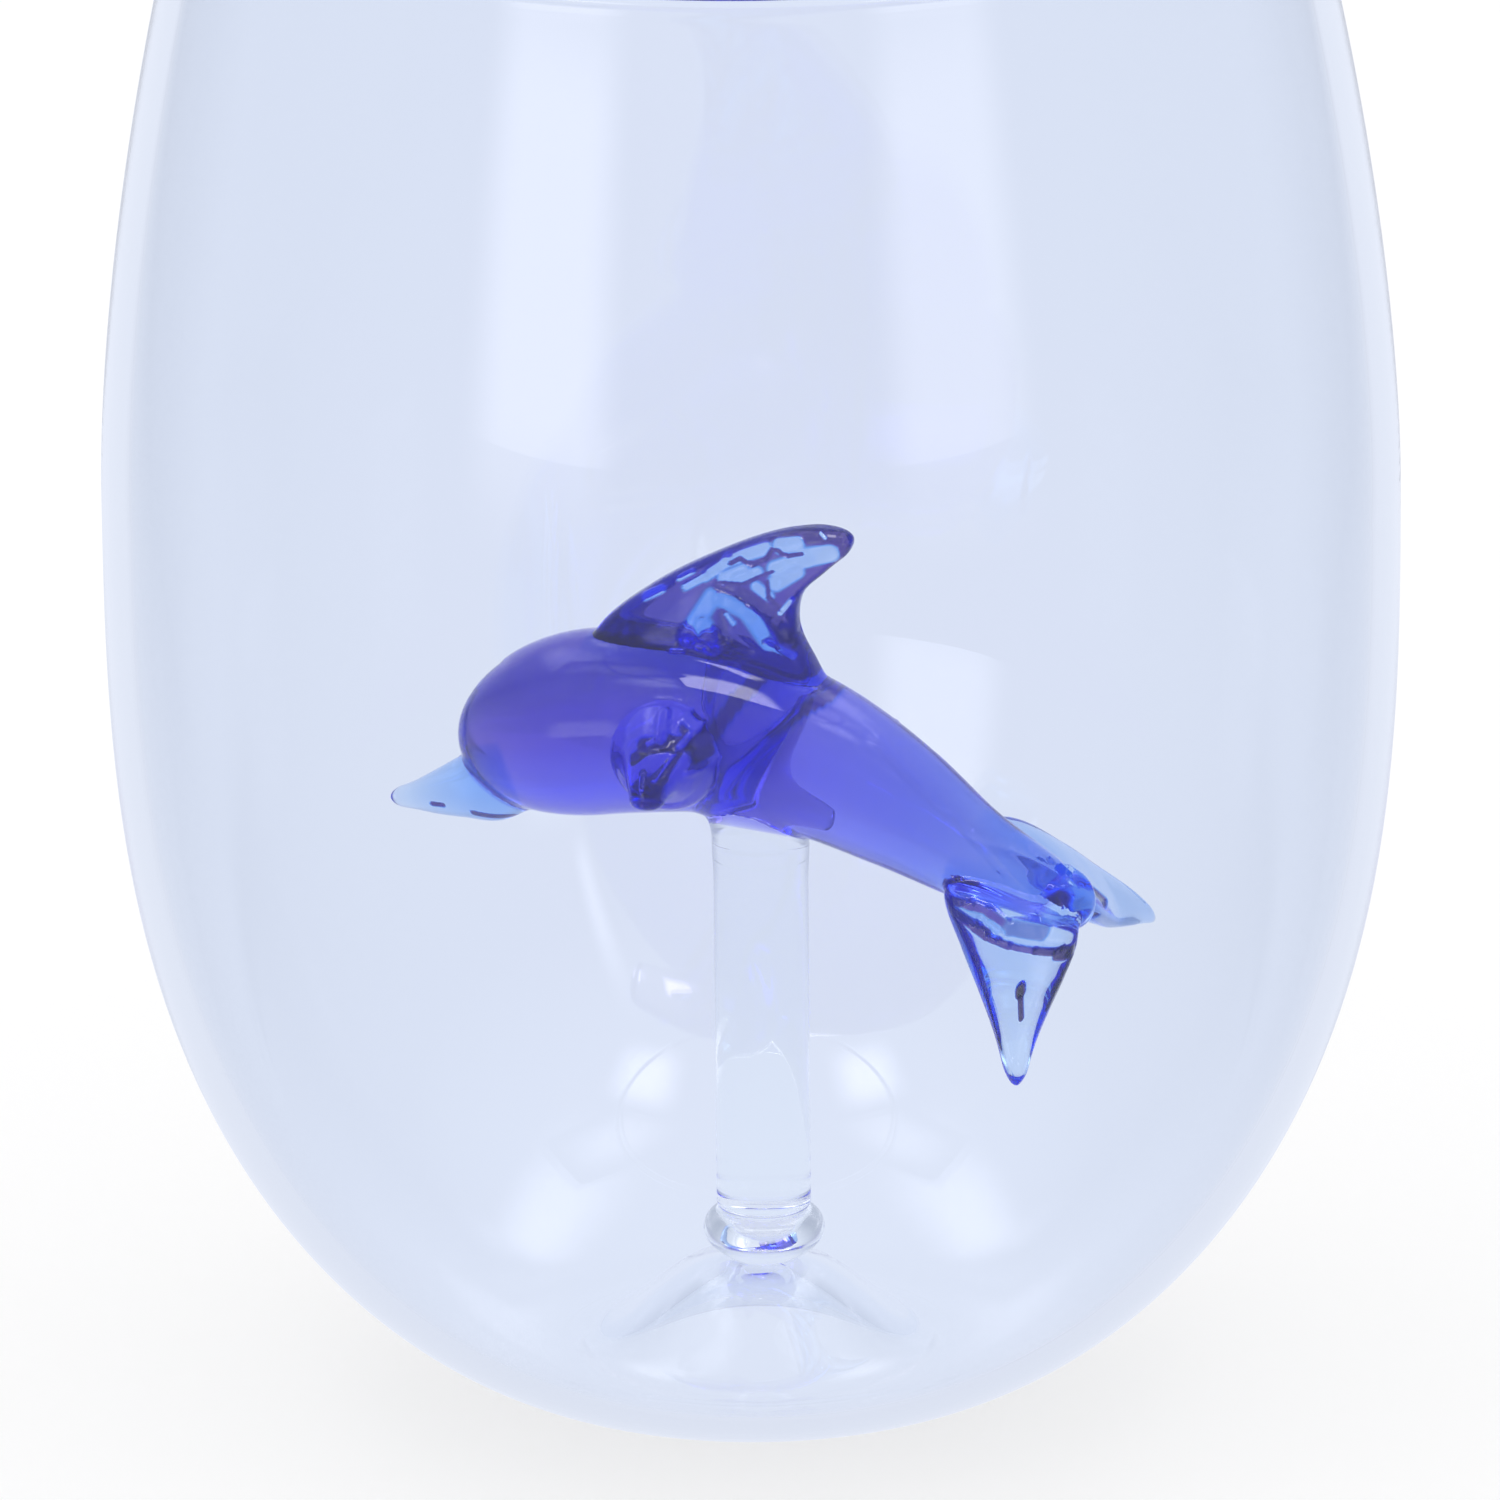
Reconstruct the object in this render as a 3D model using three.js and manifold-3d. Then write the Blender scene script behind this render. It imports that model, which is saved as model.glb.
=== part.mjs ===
// A stemless drinking glass with a lampworked dolphin standing in it on a clear glass post.
// Millimetres, +Z up. The origin is on the surface that the glass stands on, under its middle.
// The glass is blown, with a thin wall and a bottom pushed up from below. The post is a length of
// solid rod, welded to the floor with a pad of molten glass. The dolphin is drawn out of a cobalt
// gather, and its beak, fins and flukes are smaller gathers fused on one by one, so each is a
// piece of its own.
// The dolphin has its own frame: the post's axis is its Z axis, its head points along -X and its
// left side faces -Y. Heights in it are counted from the tail's end.

import * as THREE from "three";
import { mergeVertices } from "three/addons/utils/BufferGeometryUtils.js";
import Module from "manifold-3d";

const wasm = await Module();
wasm.setup();

// Driving dimensions of the glass
const glass_height = 116.8;
const belly_radius = 47.4;
const belly_height = 69.1;
const rim_radius = 40.6;
const wall = 2.1;
const foot_radius = 15;
const hollow_radius = 13;
const hollow_flat_radius = 1.2;
const hollow_depth = 6.5;
const floor_height = 8.6;
const floor_flat_radius = 2.6;
const valley_radius = 14.5;
const valley_height = 2;

// Driving dimensions of the post and its two welds
const post_radius = 3.5;
const post_off_centre = 0.45;
const post_edge = 0.35;
const pad_radius = 4.5;
const pad_height = 3.8;
const saddle_radius = 4.9;
const saddle_height = 3;
const saddle_depth = 2.9;

// Driving dimensions of the dolphin
const tail_end_height = 38.4;
const heading_degrees = -16.5;
const body_length = 45.4;
const body_radius = 6.85;
const body_arch = 11.5;
const tail_roundness = 1.4;
const nose_to_post = 22.9;
const head_roundness = 10.5;
const beak_length = 7.9;
const beak_root_radius = 3.2;
const beak_root_height = 5.6;
const beak_setback = 2.5;
const beak_tip_roundness = 1;
const dorsal_setback = 10;
const dorsal_chord = 19;
const dorsal_rise = 12.5;
const dorsal_thickness = 6.4;
const dorsal_tip_roundness = 2.3;
const pectoral_reach = 7;
const left_pectoral_setback = 17.6;
const right_pectoral_setback = 20;
const left_pectoral_radius = 4.2;
const right_pectoral_radius = 3.6;
const pectoral_drop_radius = 1.2;
const fluke_span = 17;
const fluke_chord = 9.9;
const fluke_droop = 7.7;
const fluke_thickness = 3;
const fluke_tip_roundness = 1.7;
const bead_setback = 0.2;
const bead_length = 5.4;
const bead_width = 5.6;
const bead_height = 5.2;

// The gap left between two fused pieces, so that each stays a solid of its own
const weld_gap = 0.25;

// How finely curves are cut
const turn_steps = 56;
const post_steps = 32;
const body_steps = 24;
const fin_steps = 18;
const knuckle_steps = 20;
const body_rings = 30;
const beak_rings = 12;
const dorsal_rings = 16;
const pectoral_rings = 13;
const fluke_rings = 15;
const knuckle_rings = 12;
const spine_samples = 400;

const finishes = {
  crystal: { color: 0xdfe9fb, roughness: 0.03, opacity: 0.3 },
  clear_rod: { color: 0xe9f0fb, roughness: 0.03, opacity: 0.45 },
  cobalt: { color: 0x3a35c0, roughness: 0.04, opacity: 0.92 },
  pale_blue: { color: 0x8fc0f2, roughness: 0.05, opacity: 0.8 },
};

function glassPiece(name, geometry, finish) {
  const material = new THREE.MeshStandardMaterial({
    ...finishes[finish],
    metalness: 0,
    transparent: true,
  });
  const mesh = new THREE.Mesh(geometry, material);
  mesh.name = name;
  return mesh;
}

// A closed geometry as a solid that can be cut
function solidOf(geometry) {
  const bare = new THREE.BufferGeometry();
  bare.setAttribute("position", geometry.getAttribute("position").clone());
  bare.setIndex(geometry.index.clone());
  const merged = mergeVertices(bare);
  return new wasm.Manifold(
    new wasm.Mesh({
      numProp: 3,
      vertProperties: merged.getAttribute("position").array,
      triVerts: new Uint32Array(merged.index.array),
    }),
  );
}

function geometryOf(solid) {
  const mesh = solid.getMesh();
  const positions = new Float32Array(mesh.numVert * 3);
  for (let i = 0; i < mesh.numVert; i++) {
    const start = i * mesh.numProp;
    positions.set(mesh.vertProperties.subarray(start, start + 3), i * 3);
  }
  const geometry = new THREE.BufferGeometry();
  geometry.setAttribute("position", new THREE.BufferAttribute(positions, 3));
  geometry.setIndex(new THREE.BufferAttribute(mesh.triVerts, 1));
  geometry.computeVertexNormals();
  return geometry;
}

// The largest piece that is left of a geometry once its neighbours are cut away from it
function cutBy(geometry, ...neighbours) {
  let solid = solidOf(geometry);
  for (const neighbour of neighbours) solid = solid.subtract(solidOf(neighbour));
  const pieces = solid.decompose();
  return geometryOf(pieces.reduce((a, b) => (b.volume() > a.volume() ? b : a)));
}

// A skin over rings of points, closed at each end by a fan to the ring's middle
function loft(rings) {
  const steps = rings[0].length;
  const last = (rings.length - 1) * steps;
  const poles = [rings[0], rings.at(-1)].map((ring) =>
    ring.reduce((sum, p) => sum.add(p), new THREE.Vector3()).divideScalar(steps),
  );
  const triangles = [];
  for (let i = 0; i < last; i += steps)
    for (let j = 0; j < steps; j++) {
      const [a, b] = [i + j, i + ((j + 1) % steps)];
      triangles.push(a, b, b + steps, a, b + steps, a + steps);
    }
  for (let j = 0; j < steps; j++) {
    const k = (j + 1) % steps;
    triangles.push(last + steps, k, j, last + steps + 1, last + j, last + k);
  }
  const geometry = new THREE.BufferGeometry().setFromPoints([...rings.flat(), ...poles]);
  geometry.setIndex(triangles);
  if (solidOf(geometry).volume() < 0) geometry.setIndex(triangles.reverse());
  geometry.computeVertexNormals();
  return geometry;
}

// A ring of points about a centre: an ellipse on two axes, drawn in between its lobes if it has any
function oval(centre, acrossAxis, upAxis, steps, lobes = 0, pinchShare = 0) {
  return Array.from({ length: steps }, (_, j) => {
    const angle = (2 * Math.PI * j) / steps;
    const reach = 1 - pinchShare * (1 - Math.cos(lobes * angle)) * 0.5;
    return centre
      .clone()
      .addScaledVector(acrossAxis, reach * Math.cos(angle))
      .addScaledVector(upAxis, reach * Math.sin(angle));
  });
}

// Places from 0 to 1, closer together towards both ends, without the ends themselves
function endwisePlaces(count) {
  return Array.from({ length: count }, (_, i) => (1 - Math.cos((Math.PI * (i + 0.5)) / count)) / 2);
}

// The share of its full width that a rounded end keeps at a distance from its very end
function roundEnd(distance, roundness) {
  return Math.sqrt(1 - Math.max(0, 1 - distance / roundness) ** 2);
}

function smoothCurve(points) {
  return new THREE.CatmullRomCurve3(points.map((p) => new THREE.Vector3(...p)));
}

// The radius of an egg's lower half at a share of the way up to its widest place
function eggRadius(share, bottomRadius, widestRadius, upright, fullness) {
  const swell = (1 - (1 - share) ** upright) ** (1 / fullness);
  return bottomRadius + (widestRadius - bottomRadius) * swell;
}

// A solid of revolution about the Z axis
function turned(points, steps) {
  const profile = points.map(([r, z]) => new THREE.Vector2(r, z));
  return new THREE.LatheGeometry(profile, steps).rotateX(Math.PI / 2);
}

// The blown glass: an egg-shaped wall, a rounded lip and a floor that rises in the middle over the
// hollow pushed into the bottom, so that it stands on a narrow ring
function tumbler() {
  const [lower_upright, lower_fullness] = [2.97, 1.57];
  const shoulder_fullness = 1.68;
  const lower_crowding = 1.5;
  const [hill_steps, lower_steps, upper_steps, lip_steps] = [7, 13, 7, 6];
  const lip_radius = wall / 2;
  const lip_height = glass_height - lip_radius;
  const shares = (count, crowding = 1) =>
    Array.from({ length: count + 1 }, (_, i) => (i / count) ** crowding);

  const hill = (flat, rim, from, top) =>
    shares(hill_steps).map((s) => [
      flat + (rim - flat) * s,
      from + ((top - from) * (1 + Math.cos(Math.PI * s))) / 2,
    ]);
  const lower = (bottom, widest, from) =>
    shares(lower_steps, lower_crowding).map((s) => [
      eggRadius(s, bottom, widest, lower_upright, lower_fullness),
      from + (belly_height - from) * s,
    ]);
  const upper = (widest, top) =>
    shares(upper_steps)
      .slice(1)
      .map((s) => [
        widest - (widest - top) * s ** shoulder_fullness,
        belly_height + (lip_height - belly_height) * s,
      ]);
  const lip = shares(lip_steps)
    .slice(1, -1)
    .map((s) => [
      rim_radius - lip_radius + lip_radius * Math.cos(Math.PI * s),
      lip_height + lip_radius * Math.sin(Math.PI * s),
    ]);
  const inside = [
    [0, floor_height],
    ...hill(floor_flat_radius, valley_radius, valley_height, floor_height).slice(0, -1),
    ...lower(valley_radius, belly_radius - wall, valley_height),
    ...upper(belly_radius - wall, rim_radius - wall),
  ];
  return turned(
    [
      [0, hollow_depth],
      ...hill(hollow_flat_radius, hollow_radius, 0, hollow_depth),
      ...lower(foot_radius, belly_radius, 0),
      ...upper(belly_radius, rim_radius),
      ...lip,
      ...inside.reverse(),
    ],
    turn_steps,
  );
}

// The dolphin's spine from nose to tail: shares of the body's length, arch and radius
const spine_shares = [
  [0, 0.74, 1],
  [0.106, 0.83, 1],
  [0.222, 0.935, 1],
  [0.31, 0.985, 1],
  [0.405, 1, 0.975],
  [0.513, 0.925, 0.905],
  [0.621, 0.78, 0.825],
  [0.736, 0.555, 0.7],
  [0.855, 0.28, 0.53],
  [1, 0, 0.375],
];
const nose_x = -nose_to_post;
const tail_x = nose_x + body_length;

// The spine as a curve whose Y is the body's radius
const spine = smoothCurve(
  spine_shares.map(([x, z, r]) => [nose_x + body_length * x, body_radius * r, body_arch * z]),
);

// Where the spine passes over the post, and from it the height at which the post's molten head starts
const over_post = spine
  .getPoints(spine_samples)
  .reduce((a, b) => (Math.abs(b.x) < Math.abs(a.x) ? b : a));
const saddle_foot = over_post.z - over_post.y - saddle_depth;

// The molten pad under the post: a round drop that narrows to where it is welded to the floor
function footWeld() {
  const drop_shares = [
    [0.5, 0],
    [0.72, 0.12],
    [0.92, 0.33],
    [1, 0.55],
    [0.96, 0.78],
    [0.85, 0.93],
    [0.72, 1],
  ];
  const drop = drop_shares.map(([r, z]) => [pad_radius * r, floor_height + pad_height * z]);
  return turned([[0, drop[0][1]], ...drop, [0, drop.at(-1)[1]]], post_steps);
}

const post_bottom = floor_height + pad_height;
const post_top = tail_end_height + saddle_foot;

// The rod, with its two cut ends softened by the flame
function post() {
  return turned(
    [
      [0, post_bottom],
      [post_radius - post_edge, post_bottom],
      [post_radius, post_bottom + post_edge],
      [post_radius, post_top - post_edge],
      [post_radius - post_edge, post_top],
      [0, post_top],
    ],
    post_steps,
  );
}

// The rod's molten head, in the dolphin's frame: it flares as it rises and wets the belly
function saddle() {
  const flare_shares = [
    [0, 0],
    [0.1, 0.3],
    [0.35, 0.65],
    [0.8, 0.92],
    [1, 1.1],
    [0.8, 1.6],
    [0.3, 1.9],
  ];
  const spread = saddle_radius - post_radius;
  const foot = saddle_foot + weld_gap;
  const flare = flare_shares.map(([r, z]) => [post_radius + spread * r, foot + saddle_height * z]);
  return turned([[0, foot], ...flare, [0, flare.at(-1)[1]]], post_steps);
}

// The cobalt body: a round gather with a full head, arched and drawn out to a slim tail
function body(grow = 0) {
  const side = new THREE.Vector3(0, 1, 0);
  const rings = endwisePlaces(body_rings).map((place) => {
    const { x, y: radius, z } = spine.getPoint(place);
    const tangent = spine.getTangent(place).setY(0).normalize();
    const rounding =
      roundEnd(x - nose_x, head_roundness) * roundEnd(tail_x - x, tail_roundness);
    const half = radius * rounding + grow;
    const up = new THREE.Vector3().crossVectors(tangent, side);
    return oval(
      new THREE.Vector3(x, 0, z).addScaledVector(tangent, grow * (2 * place - 1)),
      side.clone().multiplyScalar(half),
      up.multiplyScalar(half),
      body_steps,
    );
  });
  return loft(rings);
}

// A tapering round gather along a curve; each point is its place and its radius there
function drawnGather(points, reference, ring_count, roundness) {
  const path = smoothCurve(points.map(([x, y, z]) => [x, y, z]));
  const radii = smoothCurve(points.map((p) => [p[3], 0, 0]));
  const length = path.getLength();
  const rings = endwisePlaces(ring_count).map((place) => {
    const tangent = path.getTangent(place);
    const across = reference.clone().projectOnPlane(tangent).normalize();
    const up = new THREE.Vector3().crossVectors(across, tangent);
    const half = radii.getPoint(place).x * roundEnd(length * (1 - place), roundness);
    return oval(
      path.getPoint(place),
      across.multiplyScalar(half),
      up.multiplyScalar(half),
      fin_steps,
    );
  });
  return loft(rings);
}

// A flattened gather between a leading and a trailing edge, rounded off at its tip
function pressedFin(lead, trail, thicknesses, ring_count, roundness) {
  const [front, back] = [smoothCurve(lead), smoothCurve(trail)];
  const depth = smoothCurve(thicknesses.map((t) => [t, 0, 0]));
  const length = front.getLength();
  const rings = endwisePlaces(ring_count).map((place) => {
    const [a, b] = [front.getPoint(place), back.getPoint(place)];
    const centre = a.clone().add(b).multiplyScalar(0.5);
    const rounding = roundEnd(length * (1 - place), roundness);
    const chord = a.sub(b).multiplyScalar(0.5 * rounding);
    const rise = front.getTangent(place).add(back.getTangent(place));
    const through = new THREE.Vector3().crossVectors(chord, rise).normalize();
    return oval(
      centre,
      chord,
      through.multiplyScalar(0.5 * depth.getPoint(place).x * rounding),
      fin_steps,
    );
  });
  return loft(rings);
}

// The beak: pulled forward and a little down from low on the head, to a blunt point
function beak() {
  const beak_shares = [
    [-0.35, 0.08, 1],
    [0, -0.01, 0.96],
    [0.33, -0.1, 0.7],
    [0.55, -0.16, 0.53],
    [0.78, -0.21, 0.34],
    [1.03, -0.25, 0.18],
  ];
  const root_x = nose_x + beak_setback;
  const points = beak_shares.map(([forward, up, r]) => [
    root_x - beak_length * forward,
    0,
    beak_root_height + beak_length * up,
    beak_root_radius * r,
  ]);
  return drawnGather(points, new THREE.Vector3(0, 1, 0), beak_rings, beak_tip_roundness);
}

// The back fin: swept back to a round tip, with a hollow rear edge and a broad foot on the back
function dorsalFin() {
  const lead_shares = [
    [-0.03, 0],
    [0.045, 0.265],
    [0.245, 0.525],
    [0.505, 0.755],
    [0.77, 0.925],
    [1.005, 0.99],
  ];
  const trail_shares = [
    [1, -0.155],
    [0.91, 0.11],
    [0.842, 0.342],
    [0.858, 0.542],
    [0.953, 0.694],
    [1.095, 0.88],
  ];
  const thickness_shares = [1.12, 0.95, 0.72, 0.55, 0.45, 0.4];
  const seat_share = 0.53;
  const seat = body_arch + body_radius * seat_share;
  const place = ([x, z]) => [
    nose_x + dorsal_setback + dorsal_chord * x,
    0,
    seat + dorsal_rise * z,
  ];
  return pressedFin(
    lead_shares.map(place),
    trail_shares.map(place),
    thickness_shares.map((share) => dorsal_thickness * share),
    dorsal_rings,
    dorsal_tip_roundness,
  );
}

// A breast fin: a gather dabbed on the flank and pulled down to a drop.
// Each row is its place along the body, outwards and down, and its radius
function pectoralFin(shares, setback, radius, side) {
  const level_share = 0.94;
  const inset_share = 0.5;
  const points = shares.map(([back, out, down, r]) => [
    nose_x + setback + pectoral_reach * back,
    side * (body_radius * inset_share + pectoral_reach * out),
    body_arch * level_share - pectoral_reach * down,
    radius * r,
  ]);
  return drawnGather(points, new THREE.Vector3(1, 0, 0), pectoral_rings, pectoral_drop_radius);
}

const left_pectoral_shares = [
  [0, 0, 0, 1],
  [0, 0.43, 0.01, 0.98],
  [0, 0.7, 0.05, 0.74],
  [-0.02, 0.88, 0.15, 0.48],
  [-0.03, 0.98, 0.29, 0.32],
  [-0.03, 1, 0.41, 0.27],
];
const right_pectoral_shares = [
  [0, 0, 0.05, 1],
  [0.06, 0.4, 0.08, 0.95],
  [0.28, 0.74, 0.19, 0.72],
  [0.58, 0.97, 0.33, 0.5],
  [0.86, 1.08, 0.45, 0.38],
  [1, 1.11, 0.49, 0.33],
];

// A fluke: a gather pressed flat beside the tail, drooping to a narrow tip.
// Each row is a place along the tail, outwards and up, in shares of chord, span and droop
function fluke(lead_shares, trail_shares, side) {
  const thickness_shares = [1, 1, 0.85, 0.7, 0.6, 0.55];
  const place = ([back, out, up]) => [
    tail_x + fluke_chord * back,
    side * fluke_span * out,
    fluke_droop * up,
  ];
  return pressedFin(
    lead_shares.map(place),
    trail_shares.map(place),
    thickness_shares.map((share) => fluke_thickness * share),
    fluke_rings,
    fluke_tip_roundness,
  );
}

const left_lead_shares = [
  [-0.8, 0.07, 0.4],
  [-0.735, 0.25, 0.16],
  [-0.525, 0.435, -0.16],
  [-0.31, 0.625, -0.43],
  [-0.1, 0.82, -0.7],
  [0.09, 1.01, -1.03],
];
const left_trail_shares = [
  [0.19, 0.035, -0.12],
  [0.24, 0.21, -0.3],
  [0.24, 0.41, -0.455],
  [0.23, 0.6, -0.585],
  [0.21, 0.8, -0.79],
  [0.2, 1, -1.1],
];
const right_lead_shares = [
  [-0.72, 0.07, 0.62],
  [-0.53, 0.235, 0.57],
  [-0.25, 0.41, 0.27],
  [-0.05, 0.605, -0.07],
  [0.12, 0.81, -0.42],
  [0.32, 1.01, -0.84],
];
const right_trail_shares = [
  [0.17, 0.035, -0.08],
  [0.2, 0.22, -0.31],
  [0.18, 0.42, -0.52],
  [0.17, 0.61, -0.7],
  [0.22, 0.81, -0.83],
  [0.26, 1.02, -0.935],
];

// The bead behind the tail that both flukes are welded to, nipped into folds by the tweezers
function knuckle(grow = 0) {
  const fold_count = 5;
  const fold_share = 0.16;
  const rings = endwisePlaces(knuckle_rings).map((place) => {
    const half = Math.sqrt(4 * place * (1 - place));
    return oval(
      new THREE.Vector3(tail_x + bead_setback + (bead_length / 2 + grow) * (2 * place - 1), 0, 0),
      new THREE.Vector3(0, (bead_width / 2) * half + grow, 0),
      new THREE.Vector3(0, 0, (bead_height / 2) * half + grow),
      knuckle_steps,
      fold_count,
      fold_share * place,
    );
  });
  return loft(rings);
}

const [left, right] = [-1, 1];
const grown_body = body(weld_gap);
const grown_knuckle = knuckle(weld_gap);

const dolphin = new THREE.Group();
dolphin.position.set(post_off_centre, 0, tail_end_height);
dolphin.rotation.z = THREE.MathUtils.degToRad(heading_degrees);
dolphin.add(
  glassPiece("post_saddle", cutBy(saddle(), grown_body), "clear_rod"),
  glassPiece("dolphin_body", body(), "cobalt"),
  glassPiece("beak", cutBy(beak(), grown_body), "pale_blue"),
  glassPiece("dorsal_fin", cutBy(dorsalFin(), grown_body), "pale_blue"),
  glassPiece(
    "left_pectoral_fin",
    cutBy(
      pectoralFin(left_pectoral_shares, left_pectoral_setback, left_pectoral_radius, left),
      grown_body,
    ),
    "cobalt",
  ),
  glassPiece(
    "right_pectoral_fin",
    cutBy(
      pectoralFin(right_pectoral_shares, right_pectoral_setback, right_pectoral_radius, right),
      grown_body,
    ),
    "cobalt",
  ),
  glassPiece("tail_knuckle", cutBy(knuckle(), grown_body), "pale_blue"),
  glassPiece(
    "left_fluke",
    cutBy(fluke(left_lead_shares, left_trail_shares, left), grown_body, grown_knuckle),
    "pale_blue",
  ),
  glassPiece(
    "right_fluke",
    cutBy(fluke(right_lead_shares, right_trail_shares, right), grown_body, grown_knuckle),
    "pale_blue",
  ),
);

const stand = new THREE.Group();
stand.position.x = post_off_centre;
stand.add(
  glassPiece("post_foot_weld", footWeld(), "clear_rod"),
  glassPiece("support_post", post(), "clear_rod"),
);

const figurine_glass = new THREE.Group();
figurine_glass.add(glassPiece("tumbler_bowl", tumbler(), "crystal"), stand, dolphin);

export default figurine_glass;
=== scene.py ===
import bpy
import numpy as np
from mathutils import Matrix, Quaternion, Vector


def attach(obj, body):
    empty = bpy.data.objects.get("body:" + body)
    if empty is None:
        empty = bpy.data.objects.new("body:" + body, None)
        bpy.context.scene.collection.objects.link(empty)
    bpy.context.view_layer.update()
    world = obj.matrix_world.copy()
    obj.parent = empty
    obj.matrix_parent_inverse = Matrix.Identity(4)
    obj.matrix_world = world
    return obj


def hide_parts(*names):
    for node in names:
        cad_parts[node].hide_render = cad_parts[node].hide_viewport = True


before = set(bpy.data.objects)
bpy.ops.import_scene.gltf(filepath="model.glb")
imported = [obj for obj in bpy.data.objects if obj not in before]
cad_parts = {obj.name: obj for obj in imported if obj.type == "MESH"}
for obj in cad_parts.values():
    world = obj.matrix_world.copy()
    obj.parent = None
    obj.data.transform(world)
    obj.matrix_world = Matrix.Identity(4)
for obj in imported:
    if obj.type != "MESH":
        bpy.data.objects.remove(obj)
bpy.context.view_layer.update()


# Studio: a white table in pale air that dims in front and overhead, with soft boxes at either side
# and above, as for a shop picture of clear glass. The camera stands 1.5 m off with a very long lens.
class Wire:
    """A socket that gives a number. Sums, products and comparisons of wires become Math nodes."""

    def __init__(self, recipe, socket):
        self.recipe = recipe
        self.socket = socket

    def math(self, operation, first, second):
        return self.recipe.node("ShaderNodeMath", {"operation": operation}, {0: first, 1: second})

    def __add__(self, other):
        return self.math("ADD", self, other)

    def __sub__(self, other):
        return self.math("SUBTRACT", self, other)

    def __rsub__(self, other):
        return self.math("SUBTRACT", other, self)

    def __mul__(self, other):
        return self.math("MULTIPLY", self, other)

    def __gt__(self, other):
        return self.math("GREATER_THAN", self, other)

    __radd__ = __add__
    __rmul__ = __mul__


class Recipe:
    """The node tree of a material or of the world."""

    def __init__(self, tree):
        self.tree = tree
        tree.nodes.clear()

    def node(self, kind, settings=(), inputs=(), out=0):
        """Adds a node: its settings first, then the values or wires of its sockets."""
        made = self.tree.nodes.new(kind)
        for name, value in dict(settings).items():
            if name == "stops":
                for stop, (place, shade) in zip(self.stops(made, len(value)), value):
                    stop.position, stop.color = place, shade
            else:
                setattr(made, name, value)
        for name, value in dict(inputs).items():
            if isinstance(value, Wire):
                self.tree.links.new(value.socket, made.inputs[name])
            else:
                made.inputs[name].default_value = value
        return Wire(self, made.outputs[out]) if len(made.outputs) else made

    def stops(self, ramp, count):
        stops = ramp.color_ramp.elements
        while len(stops) < count:
            stops.new(1)
        return stops

    def blend(self, share, first, second):
        """A colour between two colours."""
        mix = {"data_type": "RGBA"}
        return self.node("ShaderNodeMix", mix, {0: share, 6: first, 7: second}, out=2)


def material(name):
    made = bpy.data.materials.new(name)
    made.use_nodes = True
    return made, Recipe(made.node_tree)


WHITE = (1, 1, 1, 1)
MM = 0.001

surroundings = (0.82, 0.86, 0.966, 1)
beside_colour = (0.46, 0.5, 0.6, 1)
front_colour = (0.46, 0.46, 0.62, 1)
overhead_colour = (0.6, 0.62, 0.76, 1)
front_to_side = {1: -0.75, 2: -0.35}
side_to_back = {1: 0.6, 2: 0.92}
side_to_overhead = {1: 0.5, 2: 0.8}

world = bpy.data.worlds.new("studio")
world.use_nodes = True
bpy.context.scene.world = world
air = Recipe(world.node_tree)
way = air.node("ShaderNodeTexCoord")
height = air.node("ShaderNodeSeparateXYZ", {}, {0: way}, out=2)
depth = air.node("ShaderNodeSeparateXYZ", {}, {0: way}, out=1)
beside = air.node("ShaderNodeMapRange", {}, {0: depth, **front_to_side})
behind = air.node("ShaderNodeMapRange", {}, {0: depth, **side_to_back})
above = air.node("ShaderNodeMapRange", {}, {0: height, **side_to_overhead})
around = air.blend(behind, air.blend(beside, front_colour, beside_colour), surroundings)
is_clear = air.node("ShaderNodeLightPath", out="Is Transmission Ray")
dome = air.blend(above, around, air.blend(is_clear, overhead_colour, surroundings))
is_camera = air.node("ShaderNodeLightPath", out="Is Camera Ray")
is_diffuse = air.node("ShaderNodeLightPath", out="Is Diffuse Ray")
seen = air.blend(is_camera + is_diffuse, dome, WHITE)
air.node("ShaderNodeOutputWorld", {}, {0: air.node("ShaderNodeBackground", {}, {0: seen})})

table_size = 3.0
table_drop = 0.00002
table_albedo = 0.95
table_glow_share = 0.75
# Seen through the glass, the table glows as painted light: dim in front and pale to the sides, over these
# ranges in metres.
glow_front = {1: -0.12, 2: -0.05}
glow_side = {1: 0.05, 2: 0.13}
glow_spread = 0.55

corners = np.array([(-1, -1, 0), (1, -1, 0), (1, 1, 0), (-1, 1, 0)]) * table_size / 2
corners[:, 2] = -table_drop
table_mesh = bpy.data.meshes.new("table")
table_mesh.from_pydata(corners.tolist(), [], [(0, 1, 2, 3)])
table = bpy.data.objects.new("table", table_mesh)
bpy.context.collection.objects.link(table)

made, paint = material("white_table")
is_clear = paint.node("ShaderNodeLightPath", out="Is Transmission Ray")
place = paint.node("ShaderNodeTexCoord", out="Object")
depth = paint.node("ShaderNodeSeparateXYZ", {}, {0: place}, out=1)
width = paint.node("ShaderNodeSeparateXYZ", {}, {0: place})
width = paint.node("ShaderNodeMath", {"operation": "ABSOLUTE"}, {0: width})
under = paint.node("ShaderNodeMapRange", {}, {0: depth, **glow_front})
aside = paint.node("ShaderNodeMapRange", {}, {0: width - glow_spread * depth, **glow_side})
matt = paint.node("ShaderNodeBsdfDiffuse", {}, {0: (table_albedo,) * 3 + (1,)})
glow = paint.node("ShaderNodeEmission", {}, {0: WHITE})
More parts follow.
